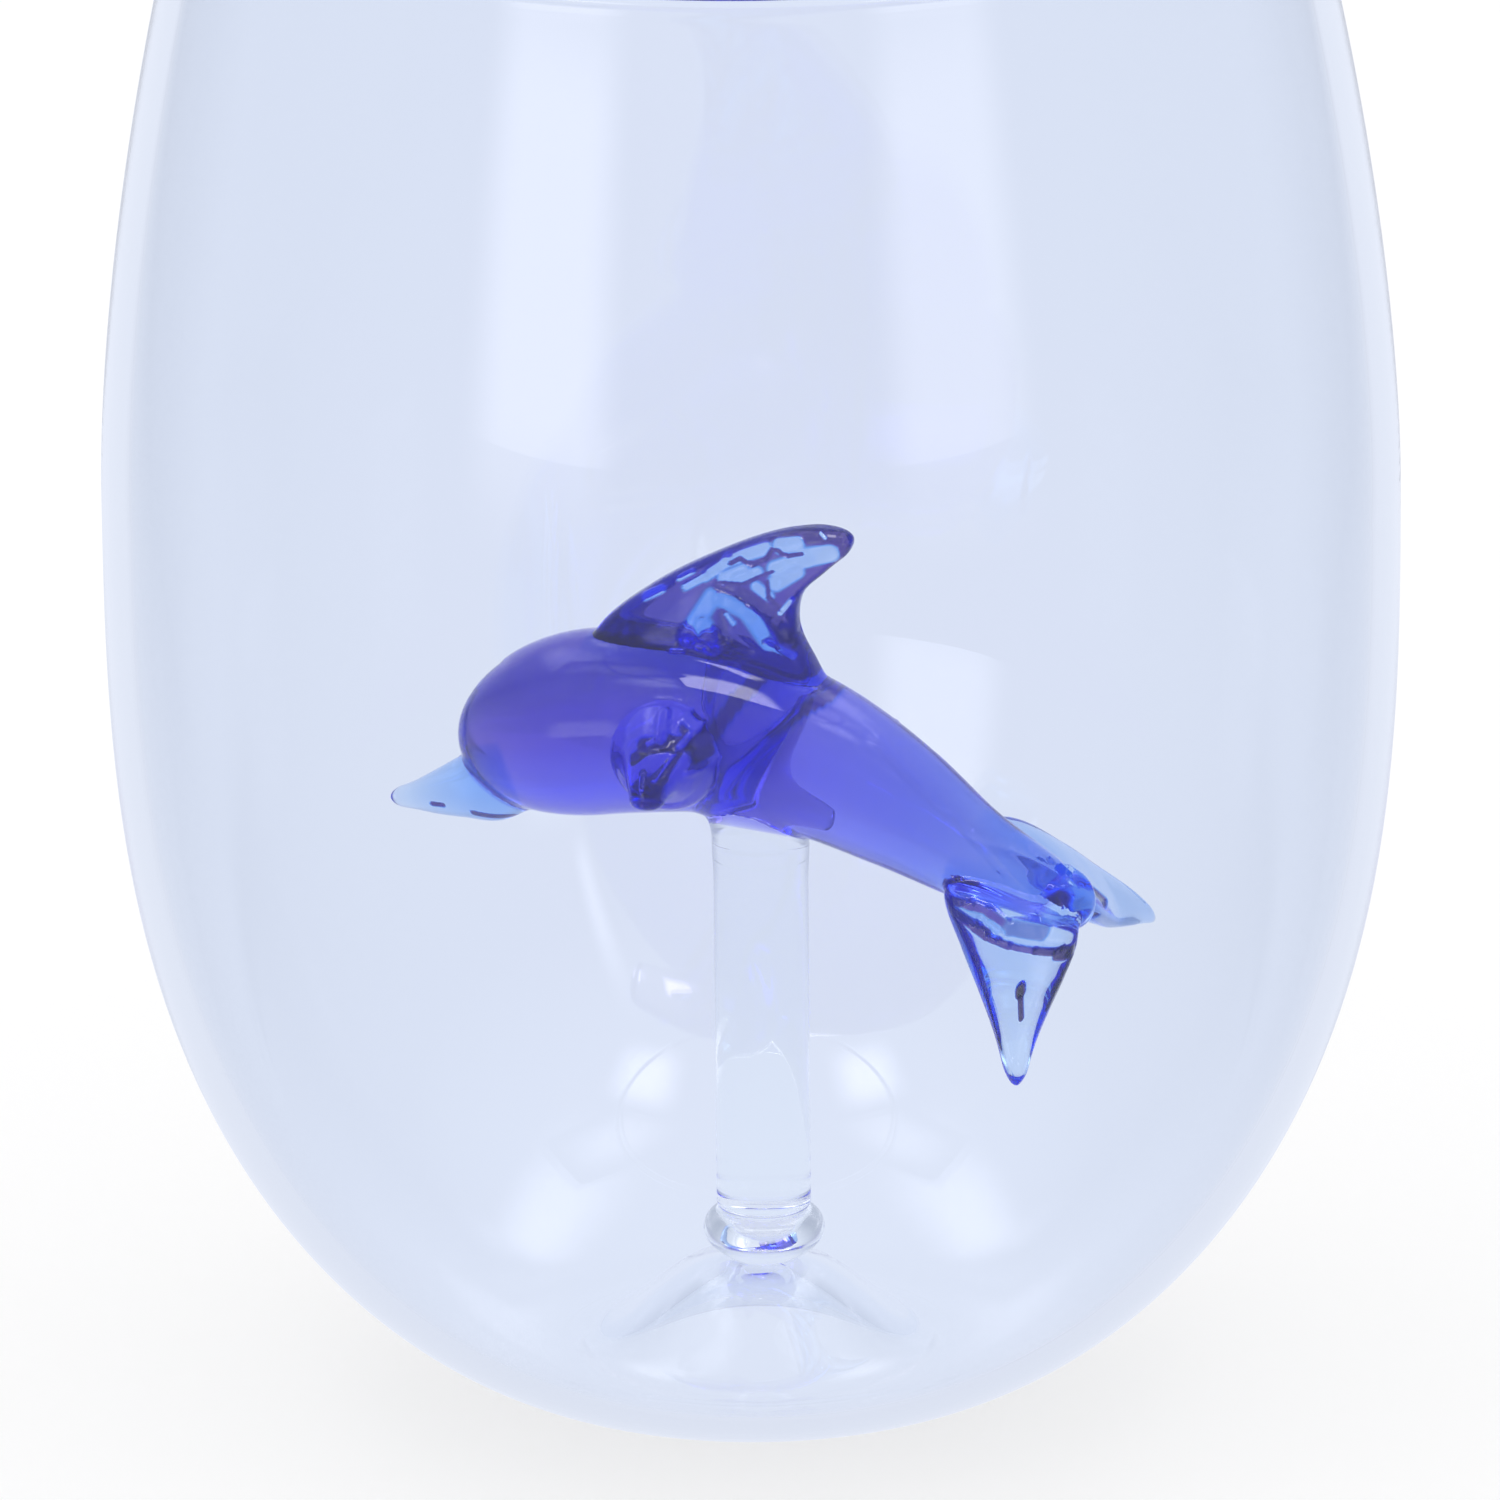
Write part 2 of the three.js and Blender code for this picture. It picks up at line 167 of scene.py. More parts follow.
# Painted light: what the glass shows of the table is glow, pale to the sides and dim in front.
pale = paint.node("ShaderNodeEmission", {}, {0: paint.blend(aside, surroundings, beside_colour)})
dim = paint.node("ShaderNodeEmission", {}, {0: front_colour})
lit = paint.node("ShaderNodeMixShader", {}, {0: table_glow_share, 1: matt, 2: glow})
painted_glow = paint.node("ShaderNodeMixShader", {}, {0: under, 1: dim, 2: pale})
lit = paint.node("ShaderNodeMixShader", {}, {0: is_clear, 1: lit, 2: painted_glow})
paint.node("ShaderNodeOutputMaterial", {}, {0: lit})
table_mesh.materials.append(made)
table.visible_glossy = False


lamp_colour = (1, 0.97, 1)


def soft_box(name, place, size, brightness, tilt=0, turn=0, edge=0.3, only=None):
    """A rectangular lamp that shines down until it is tilted up and turned about the vertical.
    Its brightness is what a mirror would show of its middle, and it fades over a share of each side.
    It may be screened off so that it lights only one collection of pieces."""
    lamp = bpy.data.lights.new(name, "AREA")
    lamp.shape = "RECTANGLE"
    lamp.size, lamp.size_y = size
    lamp.energy = brightness * np.pi * size[0] * size[1]
    lamp.color = lamp_colour
    lamp.use_nodes = True
    beam = Recipe(lamp.node_tree)
    spot = beam.node("ShaderNodeNewGeometry", out="Parametric")
    fade = 1.0
    for axis in (0, 1):
        across = beam.node("ShaderNodeSeparateXYZ", {}, {0: spot}, out=axis)
        smooth = {"interpolation_type": "SMOOTHSTEP"}
        fade = beam.node("ShaderNodeMapRange", smooth, {0: across, 1: 0.0, 2: edge}) * fade
        fade = beam.node("ShaderNodeMapRange", smooth, {0: across, 1: 1.0, 2: 1.0 - edge}) * fade
    beam.node("ShaderNodeOutputLight", {}, {0: beam.node("ShaderNodeEmission", {}, {0: WHITE, 1: fade})})
    holder = bpy.data.objects.new(name, lamp)
    holder.location = place
    holder.rotation_euler = np.radians((tilt, 0, turn))
    holder.visible_camera = False
    if only:
        holder.light_linking.receiver_collection = only
    bpy.context.collection.objects.link(holder)


for side, name, strength in ((-1, "left", 1.5), (1, "right", 1.15)):
    soft_box(name + "_box", (side * 0.54, -0.72, 0.12), (0.5, 0.42), strength, tilt=90, turn=side * 37)
    soft_box(name + "_overhead_box", (side * 0.4, -0.38, 1.0), (0.34, 0.38), 2.6, edge=0.4)
    soft_box(name + "_corner_box", (side * 0.44, -0.04, 1.0), (0.26, 0.6), 1.1, turn=-side * 35, edge=0.45)
    soft_box(name + "_overhead_strip", (side * 0.56, 0.5, 1.0), (0.5, 1.5), 1.6, turn=-side * 6, edge=0.45)
soft_box("long_strip", (1.2, -1.55, 1.0), (0.16, 2.5), 1.6, turn=38, edge=0.4)
figure = bpy.data.collections.new("figure")
soft_box("back_lamp", (-0.05, -0.43, 1.0), (0.46, 0.56), 8, edge=0.12, only=figure)

camera_distance = 1.5
camera_elevation = np.radians(18)
camera_pivot = Vector((0, 0, 0.0573))
camera_aim = Vector((-0.00026, 0, 0.04792))
camera_roll = np.radians(-0.55)
lens_share = 13.67
far_clip = 100
light_bounces = 160

camera = bpy.data.cameras.new("camera")
camera.lens = lens_share * camera.sensor_width
camera.clip_end = far_clip
holder = bpy.data.objects.new("camera", camera)
back = Vector((0, -np.cos(camera_elevation), np.sin(camera_elevation)))
holder.location = camera_pivot + camera_distance * back
holder.rotation_mode = "QUATERNION"
look = (camera_aim - holder.location).to_track_quat("-Z", "Y")
holder.rotation_quaternion = look @ Quaternion((0, 0, 1), camera_roll)
bpy.context.collection.objects.link(holder)
bpy.context.scene.camera = holder
bpy.context.scene.view_settings.view_transform = "Standard"
for kind in ("max_bounces", "transmission_bounces", "glossy_bounces", "transparent_max_bounces"):
    setattr(bpy.context.scene.cycles, kind, light_bounces)


# Tumbler: blown clear glass, egg-shaped, with a fire-polished lip and a thin bottom pushed up from
# below, so that it stands on a narrow ring. Its faint blue is the cast of the glass.
class Gather:
    """A closed skin of glass over rings of points, with a pole at each end of the run of rings."""

    fan_weight = 1e-6
    coarse = 3
    deepest = 7.0
    close_by = 0.6
    spots_at_once = 300

    def __init__(self, name, grid):
        rings, steps = grid.shape[:2]
        poles = grid[[0, -1]].mean(axis=1)
        self.name = name
        self.steps = steps
        self.points = np.concatenate([grid.reshape(-1, 3), poles])
        start = (np.arange(rings - 1) * steps)[:, None] + np.arange(steps)
        beside = (np.arange(rings - 1) * steps)[:, None] + (np.arange(steps) + 1) % steps
        quads = np.stack([start, beside, beside + steps, start + steps], axis=-1).reshape(-1, 4)
        here = np.arange(steps)
        then = (here + 1) % steps
        last = (rings - 1) * steps
        first_fan = np.stack([then, here, np.full(steps, rings * steps)], axis=-1)
        last_fan = np.stack([last + here, last + then, np.full(steps, rings * steps + 1)], axis=-1)
        self.triangles = np.concatenate([quads[:, [0, 1, 2]], quads[:, [0, 2, 3]], first_fan, last_fan])
        self.faces = [*quads.tolist(), *first_fan.tolist(), *last_fan.tolist()]
        if self.volume() < 0:
            self.triangles = self.triangles[:, ::-1]
            self.faces = [face[::-1] for face in self.faces]
        self.clear = np.full(len(self.points), 1.0)
        self.stain = np.zeros(len(self.points))
        self.over = np.zeros(len(self.points))

    def volume(self):
        """A sixth of the sum of the triple products of the triangles' corners."""
        a, b, c = self.points[self.triangles].transpose(1, 0, 2)
        return np.einsum("ij,ij->", a, np.cross(b, c)) / 6

    def normals(self):
        """At each vertex, the mean of its triangles' normals, by their areas. The fans at the ends
        hardly count, so that the edge of a flat end faces sideways as the skin beside it does."""
        a, b, c = self.points[self.triangles].transpose(1, 0, 2)
        slopes = np.cross(b - a, c - a)
        slopes[-2 * self.steps :] *= self.fan_weight
        total = np.zeros_like(self.points)
        for corner in self.triangles.T:
            np.add.at(total, corner, slopes)
        return total / np.linalg.norm(total, axis=1, keepdims=True)

    def distance(self, points, limit=2.0):
        """How far points lie outside the skin, by the plane that touches it at the nearest vertex.
        Negative inside, and never over the limit. Every third vertex is tried first, and every one
        for the points that turn out to lie close to the skin."""
        found = np.full(len(points), limit)
        low, high = self.points.min(axis=0) - limit, self.points.max(axis=0) + limit
        near = np.flatnonzero(np.all((points > low) & (points < high), axis=1))
        self.touch(points, near, found, self.coarse, self.deepest)
        close = np.flatnonzero(np.abs(found) < self.close_by)
        self.touch(points, close, found, 1, 2 * self.close_by)
        return np.minimum(found, limit)

    def touch(self, points, chosen, found, stride, reach):
        """Fills in the distance of the chosen points from the plane at the nearest vertex in reach."""
        skin, normals = self.points[::stride], self.normals()[::stride]
        own = (skin**2).sum(axis=1)
        for some in np.array_split(chosen, len(chosen) // self.spots_at_once + 1):
            if not len(some):
                continue
            spots = points[some]
            low, high = spots.min(axis=0) - reach, spots.max(axis=0) + reach
            close = np.flatnonzero(np.all((skin > low) & (skin < high), axis=1))
            if len(close):
                nearest = close[np.argmin(own[close] - 2 * spots @ skin[close].T, axis=1)]
                found[some] = np.einsum("ij,ij->i", spots - skin[nearest], normals[nearest])

    def show(self, finish, slot, *nodes):
        """Makes the object, in metres. Its attributes are its clearance from what it is fused to,
        how far it is stained or darkened by painted shade and how far over its axis each vertex lies."""
        mesh = bpy.data.meshes.new(self.name)
        mesh.from_pydata((self.points * MM).tolist(), [], self.faces)
        for layer in ("clear", "stain", "over"):
            values = getattr(self, layer)
            mesh.attributes.new(layer, "FLOAT", "POINT").data.foreach_set("value", values)
        mesh.shade_smooth()
        mesh.materials.append(finish)
        self.object = bpy.data.objects.new(self.name, mesh)
        bpy.context.collection.objects.link(self.object)
        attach(self.object, "root")
        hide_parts(*nodes)


def turned(profile, steps):
    """A solid of revolution: each (radius, height) of the profile goes round the Z axis."""
    turn = np.linspace(0, 2 * np.pi, steps, endpoint=False)
    r, z = profile.T[:, :, None]
    return np.stack([r * np.cos(turn), r * np.sin(turn), z + 0 * turn], axis=-1)


def trait(pot, name):
    return pot.node("ShaderNodeAttribute", {"attribute_name": name}, out=2)


def glass(name, colour=WHITE, absorbed=(0, 0, 0), tint=None):
    """Smooth glass with a colour of its skin or a tint worked out over it, and what a millimetre of
    it absorbs. Where a gather lies inside another that it is fused to, its skin is not there."""
    made, pot = material(name)
    inputs = {
        "Base Color": tint(pot) if tint else colour,
        "Roughness": 0.0,
        "IOR": glass_index,
        "Transmission Weight": 1.0,
        "Alpha": trait(pot, "clear") > 0.0,
    }
    skin = pot.node("ShaderNodeBsdfPrincipled", {}, inputs)
    ends = {0: skin}
    most = max(absorbed)
    if most:
        kept = tuple(1 - share / most for share in absorbed) + (1,)
        ends[1] = pot.node("ShaderNodeVolumeAbsorption", {}, {0: kept, 1: most / MM})
    pot.node("ShaderNodeOutputMaterial", {}, ends)
    return made


glass_index = 1.47
glass_height = 116.8
belly_radius = 47.4
belly_height = 69.1
rim_radius = 40.6
wall = 2.1
foot_radius = 15.0
floor_height = 8.6
floor_flat_radius = 2.6
valley_radius = 14.5
valley_height = 2.0
punt_radius = 13.0
punt_flat_radius = 1.2
punt_depth = 6.5
lower_upright = 2.97
lower_fullness = 1.57
shoulder_fullness = 1.68
crystal_colour = (0.95, 0.97, 1, 1)
tumbler_steps = 256


def lower_side(bottom, widest, foot, share):
    """An egg's lower half: at a share of the way up its radius has grown from the bottom to the
    widest by (1 - (1 - share) ** upright) ** (1 / fullness)."""
    growth = (1 - (1 - share) ** lower_upright) ** (1 / lower_fullness)
    return np.stack([bottom + (widest - bottom) * growth, foot + (belly_height - foot) * share], axis=1)


def upper_side(widest, top, share):
    """From the belly the wall leans in by a power of the share of the way up."""
    radius = widest - (widest - top) * share**shoulder_fullness
    height = belly_height + (glass_height - wall / 2 - belly_height) * share
    return np.stack([radius, height], axis=1)


def hill(flat, rim, foot, top, share):
    """A flat top that falls away to the rim by half a wave of a cosine."""
    return np.stack(
        [flat + (rim - flat) * share, foot + (top - foot) * (1 + np.cos(np.pi * share)) / 2], axis=1
    )


def arc(centre, radius, start, end, count):
    """Points of a circle, with the angles in degrees from the outward side."""
    angle = np.radians(np.linspace(start, end, count))
    return np.array(centre) + radius * np.stack([np.cos(angle), np.sin(angle)], axis=1)


def tumbler_profile():
    """Up the outside from the middle of the hollow foot, round the lip and down the inside."""
    even = np.linspace(0, 1, 61)
    steep = even**2
    lip = arc([rim_radius - wall / 2, glass_height - wall / 2], wall / 2, 0, 180, 17)
    inside = np.concatenate(
        [
            hill(floor_flat_radius, valley_radius, valley_height, floor_height, even[:-1]),
            lower_side(valley_radius, belly_radius - wall, valley_height, steep),
            upper_side(belly_radius - wall, rim_radius - wall, even[1:-1]),
        ]
    )
    return np.concatenate(
        [
            hill(punt_flat_radius, punt_radius, 0, punt_depth, even),
            lower_side(foot_radius, belly_radius, 0, steep),
            upper_side(belly_radius, rim_radius, even[1:-1]),
            lip,
            inside[::-1],
        ]
    )


crystal = glass("crystal", crystal_colour)
tumbler = Gather("tumbler", turned(tumbler_profile(), tumbler_steps))
tumbler.show(crystal, "clear_glass", "tumbler_bowl")


# Post: a length of clear rod, 7 mm thick, whose ends were softened in the flame. It stands on a
# squat pad of molten glass on the tumbler's floor, and its own molten head wets the dolphin's belly.
post_radius = 3.5
post_off_centre = 0.45
post_edge = 0.6
pad_radius = 4.5
pad_height = 3.8
saddle_radius = 4.9
saddle_height = 3.0
saddle_foot = 1.6
post_in_saddle = 1.5
tail_end_height = 38.4
rod_colour = (0.98, 1.0, 1.0, 1)
heading = np.radians(-16.5)
post_shift = np.array([post_off_centre, 0, 0])


def smooth_through(rows, places):
    """A cubic curve through the rows, at places from 0 to 1 along them. Each row's slope comes from
    its two neighbours, and a stretch lasts as the square root of its length."""
    rows = np.atleast_2d(np.array(rows, dtype=float).T).T
    rows = np.vstack([2 * rows[0] - rows[1], rows, 2 * rows[-1] - rows[-2]])
    at = np.clip(places, 0, 1) * (len(rows) - 3)
    first = np.minimum(at.astype(int), len(rows) - 4)
    weight = (at - first)[:, None]
    a, b, c, d = (rows[first + i] for i in range(4))

    def knot(p, q):
        gap = np.sqrt(np.linalg.norm(q - p, axis=1, keepdims=True))
        return np.where(gap < 1e-4, 1.0, gap)

    before, between, after = knot(a, b), knot(b, c), knot(c, d)
    leave = ((b - a) / before - (c - a) / (before + between) + (c - b) / between) * between
    arrive = ((c - b) / between - (d - b) / (between + after) + (d - c) / after) * between
    cubic = 2 * b - 2 * c + leave + arrive
    square = -3 * b + 3 * c - 2 * leave - arrive
    return ((cubic * weight + square) * weight + leave) * weight + b


def smoothed_turning(rows, count, steps=96):
    """A solid of revolution on a smooth profile through the rows of (radius, height)."""
    return turned(smooth_through(rows, np.linspace(0, 1, count)), steps)


def in_dolphin_frame(grid):
    """Turns and lifts points from the dolphin's frame, whose Z axis is the post's."""
    x, y, z = np.moveaxis(grid, -1, 0)
    turned_x = x * np.cos(heading) - y * np.sin(heading)
    turned_y = x * np.sin(heading) + y * np.cos(heading)
    return np.stack([turned_x + post_off_centre, turned_y, z + tail_end_height], axis=-1)


def rod_profile(radius, edge, low, high):
    """A rod's outline from the middle of its lower end to the middle of its upper one."""
    lower = arc([radius - edge, low + edge], edge, -90, 0, 9)
    upper = arc([radius - edge, high - edge], edge, 0, 90, 9)
    side = np.stack([np.full(40, radius), np.linspace(low + edge, high - edge, 42)[1:-1]], axis=1)
    end = np.linspace(0.1, 0.9, 5)[:, None] * (radius - edge) * [1, 0]
    return np.concatenate([end + [0, low], lower, side, upper, end[::-1] + [0, high]])


pad_shares = [
    (0.02, -0.1),
    (0.3, -0.1),
    (0.5, 0),
    (0.72, 0.12),
    (0.92, 0.33),
    (1, 0.55),
    (0.96, 0.78),
    (0.85, 0.93),
    (0.72, 1),
    (0.4, 1.02),
    (0.02, 1.02),
]
pad_rows = [(pad_radius * r, floor_height + pad_height * z) for r, z in pad_shares]
pad = Gather("post_pad", smoothed_turning(pad_rows, 80) + post_shift)

post_bottom = floor_height + pad_height
post_top = tail_end_height + saddle_foot + post_in_saddle
rod = Gather(
    "post_rod", turned(rod_profile(post_radius, post_edge, post_bottom, post_top), 96) + post_shift
)

flare_shares = [
    (-0.3, -0.6),
    (-0.1, -0.3),
    (0, 0),
    (0.04, 0.3),
    (0.12, 0.65),
    (0.25, 1),
    (0.45, 1.4),
    (0.5, 1.8),
    (0.3, 2.1),
]
flare = [
    (post_radius + (saddle_radius - post_radius) * r, saddle_foot + saddle_height * z)
    for r, z in flare_shares
]
flare = [(0.05, flare[0][1]), (post_radius * 0.6, flare[0][1]), *flare, (0.05, flare[-1][1])]
saddle = Gather("post_saddle_glass", in_dolphin_frame(smoothed_turning(flare, 90)))

clear_rod = glass("clear_rod", rod_colour)
pad.show(clear_rod, "clear_glass", "post_foot_weld")
rod.show(clear_rod, "clear_glass", "support_post")
saddle.show(clear_rod, "clear_glass", "post_saddle")


# Dolphin's body: one cobalt gather, round and full at the head, arched over the post and drawn out
# to a slim tail while it was soft.
body_length = 45.4
body_radius = 6.85
body_arch = 11.5
tail_roundness = 1.4
head_roundness = 10.5
nose_x = -22.9
tail_x = nose_x + body_length
body_rings = 240
body_steps = 192
# The camera's side: the marks' stains and painted shade go only on what faces it.
camera_side = np.array([0, -0.95, 0.31])
cobalt_absorbs = (0.142, 0.145, 0.006)
body_colours = [
    (0.0, (1.0, 1.0, 1.0, 1)),
    (0.55, (1.0, 1.0, 1.0, 1)),
    (0.78, (0.64, 0.84, 1.0, 1)),
    (1.0, (0.58, 0.95, 1.0, 1)),
]
head_to_tail = {1: 0.4, 2: 0.62}
# By how far over the axis: the head's own violet, with painted shade, darkest along the back and light at
# the belly.
head_colour_and_shade = [
    (0.1, (1.0, 1.0, 1.0, 1)),
    (0.27, (0.71, 0.73, 1.0, 1)),
    (0.35, (0.73, 0.63, 0.78, 1)),
    (0.55, (0.73, 0.53, 0.6, 1)),
    (0.72, (0.51, 0.38, 0.53, 1)),
    (0.79, (0.29, 0.24, 0.42, 1)),
    (0.87, (0.09, 0.07, 0.35, 1)),
    (0.95, (0.2, 0.17, 0.46, 1)),
    (0.99, (0.49, 0.4, 0.56, 1)),
]
# By how far over the axis: painted shade along the tail, darker over the back and light at the belly.
tail_colour_and_shade = [
    (0.1, (1.0, 1.0, 1.0, 1)),
    (0.3, (0.93, 0.97, 1.0, 1)),
    (0.5, (0.86, 0.83, 0.88, 1)),
    (0.75, (0.82, 0.78, 0.82, 1)),
    (0.88, (0.6, 0.6, 0.74, 1)),
    (1.0, (0.8, 0.8, 0.9, 1)),
]
# Stain colours: blue and violet stains, and near black for painted shade where the glass would show the
# dim studio, under the back fin and in folds.
stain_and_shade_colours = [
    (0.0, (1, 1, 1, 1)),
    (0.25, (0.12, 0.36, 0.9, 1)),
    (0.5, (0.056, 0.016, 0.24, 1)),
    (1.0, (0.005, 0.003, 0.006, 1)),
]
# Body marks: ridges, and painted shade under the back fin and by the tail's end.
body_marks_and_shade = [
    ((1.0, 16.4), (-0.4, 14.9), 0.7, 0.0, 0.55),
    ((-0.4, 14.9), (-1.9, 12.5), 0.7, 0.0, 0.5),
    ((6.0, 15.0), (4.5, 14.4), 0.5, 0.0, 0.55),
    ((4.5, 14.4), (2.5, 13.0), 0.5, 0.0, 0.5),
    ((21.3, -0.1), (22.6, -1.0), 0.7, 0.0, 0.3),
    ((9.6, 12.1), (13.8, 8.2), 0.25, 0.08, 0.0),
    ((13.8, 8.2), (17.2, 5.0), 0.25, 0.08, 0.0),
    ((17.2, 5.0), (19.1, 3.0), 0.25, 0.08, 0.0),
    ((19.1, 3.0), (21.6, 0.4), 0.25, 0.08, 0.0),
]
spine_shares = [
    (0, 0.74, 1),
    (0.106, 0.83, 1),
    (0.222, 0.935, 1),
    (0.31, 0.985, 1),
    (0.405, 1, 0.975),
    (0.513, 0.925, 0.905),
    (0.621, 0.78, 0.825),
    (0.736, 0.555, 0.7),
    (0.855, 0.28, 0.53),
    (1, 0, 0.375),
]


def endwise(count):
    """Places from 0 to 1, closer together towards both ends, without the ends themselves."""
    return (1 - np.cos(np.pi * (np.arange(count) + 0.5) / count)) / 2


def round_end(distance, roundness):
    """The share of its width that a rounded end keeps at a distance from its very end."""
    return np.sqrt(1 - np.clip(1 - distance / roundness, 0, None) ** 2)


def ovals(centres, across, up, steps):
    """Rings about the centres: each is centre + across cos(angle) + up sin(angle)."""
    angle = np.linspace(0, 2 * np.pi, steps, endpoint=False)[None, :, None]
    return centres[:, None] + across[:, None] * np.cos(angle) + up[:, None] * np.sin(angle)


def unit(vectors):
    return vectors / np.linalg.norm(vectors, axis=-1, keepdims=True)


def direction(rows, places):
    """The unit vector along the curve through the rows: from just before each place to just after."""
    return unit(smooth_through(rows, places + 1e-4) - smooth_through(rows, places - 1e-4))


def body_skin(rings=body_rings, steps=body_steps):
    """Circles square to the spine, whose radius is the third share, rounded off at both ends."""
    rows = [
        (nose_x + body_length * x, body_radius * r, body_arch * z) for x, z, r in spine_shares
    ]
    places = endwise(rings)
    x, radius, z = smooth_through(rows, places).T
    tangent = unit(direction(rows, places) * [1, 0, 1])
    half = radius * round_end(x - nose_x, head_roundness) * round_end(tail_x - x, tail_roundness)
    side = np.array([0, 1, 0])
    up = np.cross(tangent, side)
    centres = np.stack([x, 0 * x, z], axis=1)
    return ovals(centres, side * half[:, None], up * half[:, None], steps)


def times(pot, one, other):
    """The product of two colours."""
    settings = {"data_type": "RGBA", "blend_type": "MULTIPLY"}
    return pot.node("ShaderNodeMix", settings, {0: 1.0, 6: one, 7: other}, out=2)


def stained_and_shaded(pot, colour):
    # The ramp holds stains and, at its dark end, painted shade.
    stain = pot.node("ShaderNodeValToRGB", {"stops": stain_and_shade_colours}, {0: trait(pot, "stain")})
    return times(pot, stain, colour)


def cobalt_tint(pot):
    """Violet at the head and bluer towards the tail, with painted shade that darkens it along the back,
    and with the marks' stains and painted shade.
    """
    place = pot.node("ShaderNodeTexCoord", out=3)
    ahead = {1: (np.cos(heading) / (body_length * MM), np.sin(heading) / (body_length * MM), 0)}
    along = pot.node("ShaderNodeVectorMath", {"operation": "DOT_PRODUCT"}, {0: place, **ahead}, out=1)
    along = along - (nose_x + post_off_centre) / body_length
    over = trait(pot, "over") * 0.5 + 0.5
    lengthwise = pot.node("ShaderNodeValToRGB", {"stops": body_colours}, {0: along})
    # Painted shade: the colour darkens over the back by how far over the axis each vertex lies.
    head = pot.node("ShaderNodeValToRGB", {"stops": head_colour_and_shade}, {0: over})
    tail = pot.node("ShaderNodeValToRGB", {"stops": tail_colour_and_shade}, {0: over})
    rear = pot.node("ShaderNodeMapRange", {}, {0: along, **head_to_tail})
    return stained_and_shaded(pot, times(pot, lengthwise, pot.blend(rear, head, tail)))


def own_place(points):
    """The places of points in the dolphin's frame."""
    x, y, z = (points - [post_off_centre, 0, tail_end_height]).T
    own_x = x * np.cos(heading) + y * np.sin(heading)
    return np.stack([own_x, y * np.cos(heading) - x * np.sin(heading), z], axis=1)


def press(gather, marks):
    """Tool marks and painted shade, each a line from start to end in the dolphin's side view, with its
    width, how far it lifts the skin and its stain, whose darkest values are painted shade. Both fade by
    exp(-(distance / width) ** 8), and a later mark lies over an earlier one. Only what faces the camera is
    marked."""
    side_view = own_place(gather.points)[:, [0, 2]]
    normals = gather.normals()
    marked = np.where(normals @ camera_side > 0, 1.0, 0.0)
    lift = np.zeros(len(normals))
    for start, end, width, height, stain in marks:
        run = np.subtract(end, start)
        share = np.clip((side_view - start) @ run / max(run @ run, 1e-6), 0, 1)[:, None]
        bell = marked * np.exp(-((np.linalg.norm(side_view - start - share * run, axis=1) / width) ** 8))
        lift += height * bell
        gather.stain += (stain - gather.stain) * bell
    gather.points = gather.points + normals * lift[:, None]


cobalt = glass("cobalt", WHITE, cobalt_absorbs, cobalt_tint)
body = Gather("cobalt_body", in_dolphin_frame(body_skin()))
body.over[:-2] = np.tile(np.sin(np.linspace(0, 2 * np.pi, body_steps, endpoint=False)), body_rings)
press(body, body_marks_and_shade)
body.show(cobalt, "cobalt_glass", "dolphin_body")


# Breast fins: two small cobalt gathers, dabbed on the flanks and pulled down to a drop.
pectoral_reach = 7.0
pectoral_drop_radius = 1.2
pectoral_seat = 0.94
left_pectoral_setback = 17.6
left_pectoral_radius = 4.2
right_pectoral_setback = 20.0
right_pectoral_radius = 3.6
left_pectoral_shares = [
    (0, 0, 0, 1),
    (0, 0.43, 0.01, 0.98),
    (0, 0.7, 0.05, 0.74),
    (-0.02, 0.88, 0.15, 0.48),
    (-0.03, 0.98, 0.29, 0.32),
    (-0.03, 1, 0.41, 0.27),
]
right_pectoral_shares = [
    (0, 0, 0.05, 1),
    (0.06, 0.4, 0.08, 0.95),
    (0.28, 0.74, 0.19, 0.72),
    (0.58, 0.97, 0.33, 0.5),
    (0.86, 1.08, 0.45, 0.38),
    (1, 1.11, 0.49, 0.33),
]
# Breast fin marks: dents and ridges, and painted shade: near-black patches where the thick fin would show
# the dim studio.
left_fin_marks_and_shade = [
    ((-3.1, 13.9), (-2.2, 12.9), 0.6, -0.1, 0.8),
    ((-2.2, 12.9), (-1.9, 11.5), 0.6, -0.1, 0.75),
    ((-6.0, 12.7), (-4.3, 13.0), 0.5, -0.15, 0.8),
    ((-4.3, 13.0), (-2.8, 12.7), 0.45, -0.15, 0.85),
    ((-5.8, 12.4), (-6.6, 11.8), 0.35, -0.1, 0.75),
    ((-3.3, 12.2), (-4.2, 10.6), 0.28, -0.15, 0.8),
    ((-5.0, 14.3), (-4.7, 13.3), 0.45, 0.45, 0.0),
    ((-4.9, 13.2), (-5.6, 12.9), 0.2, 0.25, 0.0),
    ((-3.5, 14.2), (-2.6, 13.5), 0.3, 0.3, 0.1),
    ((-2.6, 13.5), (-3.3, 12.7), 0.3, 0.3, 0.1),
    ((-4.9, 10.0), (-5.0, 9.0), 1.0, 0.0, 0.5),
    ((-3.6, 12.2), (-4.7, 10.6), 0.16, 0.2, 0.0),
    ((-5.6, 10.9), (-5.6, 9.9), 0.16, 0.2, 0.0),
    ((-2.6, 10.7), (-1.2, 11.2), 0.35, 0.1, 0.0),
]


